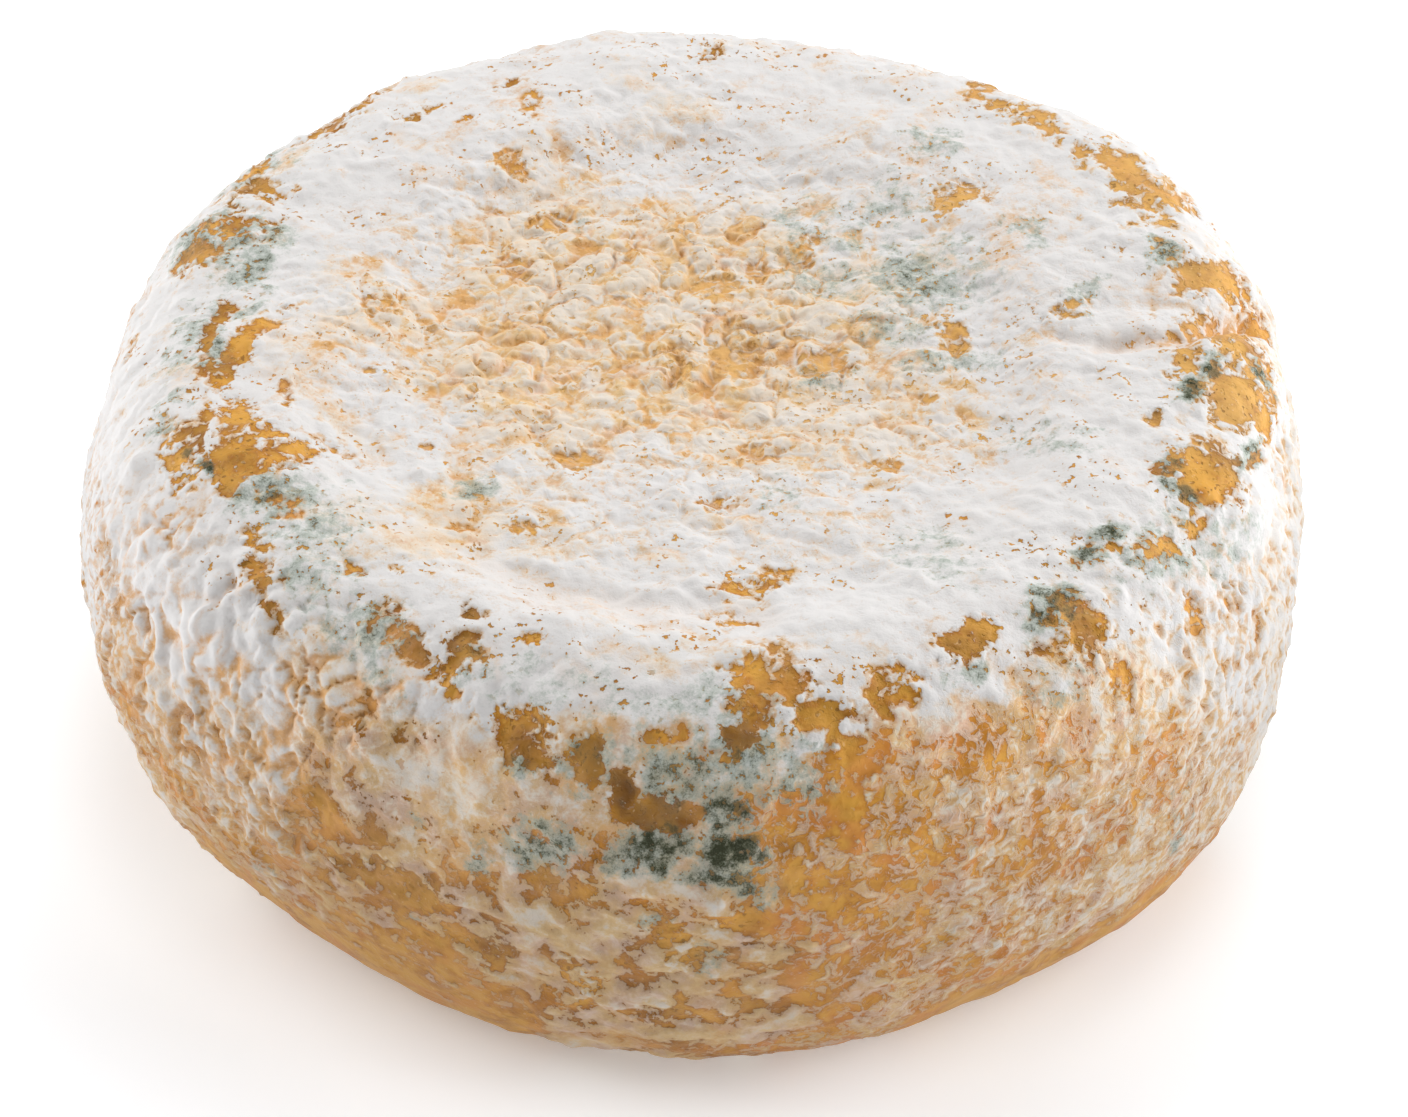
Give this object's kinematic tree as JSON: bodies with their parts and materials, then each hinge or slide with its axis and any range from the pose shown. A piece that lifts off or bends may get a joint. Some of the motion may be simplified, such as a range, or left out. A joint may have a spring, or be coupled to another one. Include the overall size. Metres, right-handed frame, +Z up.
{
  "type": "cheese wheel",
  "caption": "Whole natural-rind cheese wheel with a sunken face, a knuckled shoulder, a bulging side and a flat underside.",
  "frame": {"origin": "under the middle of the wheel's outline, on the surface that it rests on", "axes": "+Z up, through the wheel's flat faces; -Y towards the front of the wheel, +X to its right"},
  "size_m": [0.195, 0.204, 0.077],
  "materials": {
    "rind": "dry white mould over an ochre rind, with grey-blue and green spots; waxy where the rind is bare"
  },
  "bodies": {
    "root": {"cheese_wheel": "rind"}
  },
  "joints": []
}
